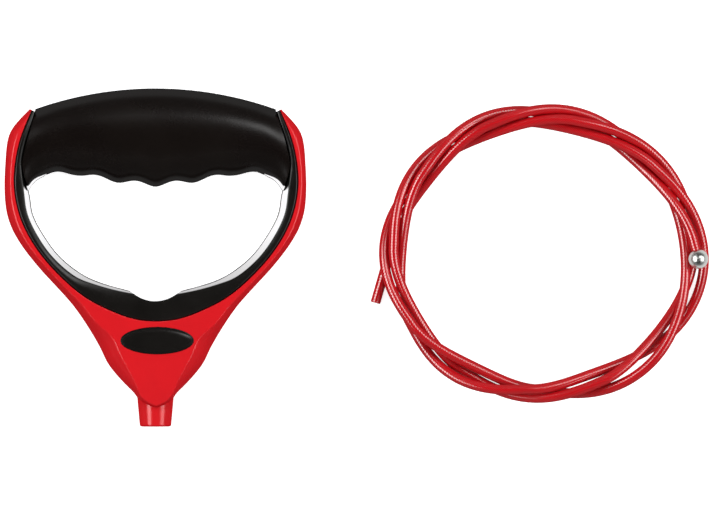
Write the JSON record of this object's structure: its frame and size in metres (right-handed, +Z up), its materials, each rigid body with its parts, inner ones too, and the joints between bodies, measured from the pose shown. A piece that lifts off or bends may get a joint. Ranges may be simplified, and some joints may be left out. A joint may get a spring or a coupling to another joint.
{
  "type": "pull handle with cable",
  "caption": "D-shaped pull handle with a scalloped soft grip and a bored neck, beside its coiled coated cable with a steel ball end.",
  "frame": {"origin": "under the middle of the handle, on the plane that its back lies on", "axes": "+X across the handle towards the coiled cable, +Y along it towards the grip, +Z up through its front"},
  "size_m": [0.338, 0.1622, 0.0284],
  "materials": {
    "red_shell": "moulded, glossy",
    "red_neck": "moulded, glossy",
    "black_frame": "moulded, glossy",
    "grip_rubber": "soft touch, satin",
    "badge_black": "domed, glossy",
    "plated_steel": "zinc plated",
    "bright_steel": "polished",
    "wire_rope": "stranded",
    "red_coating": "vinyl coated, glossy"
  },
  "bodies": {
    "handle": {"front_shell": "red_shell", "rear_shell": "red_shell", "inner_frame": "black_frame", "grip": "grip_rubber", "neck_nozzle": "red_neck", "ball_seat": "plated_steel", "badge": "badge_black", "shell_screws": "plated_steel"},
    "cable": {"cable_jacket": "red_coating", "cable_core": "wire_rope", "cable_ball": "bright_steel"}
  },
  "joints": [
    {"name": "cable_lift", "type": "slide", "parent": "handle", "child": "cable", "axis": [0, 0, 1], "range_m": [0, 0.15]}
  ]
}
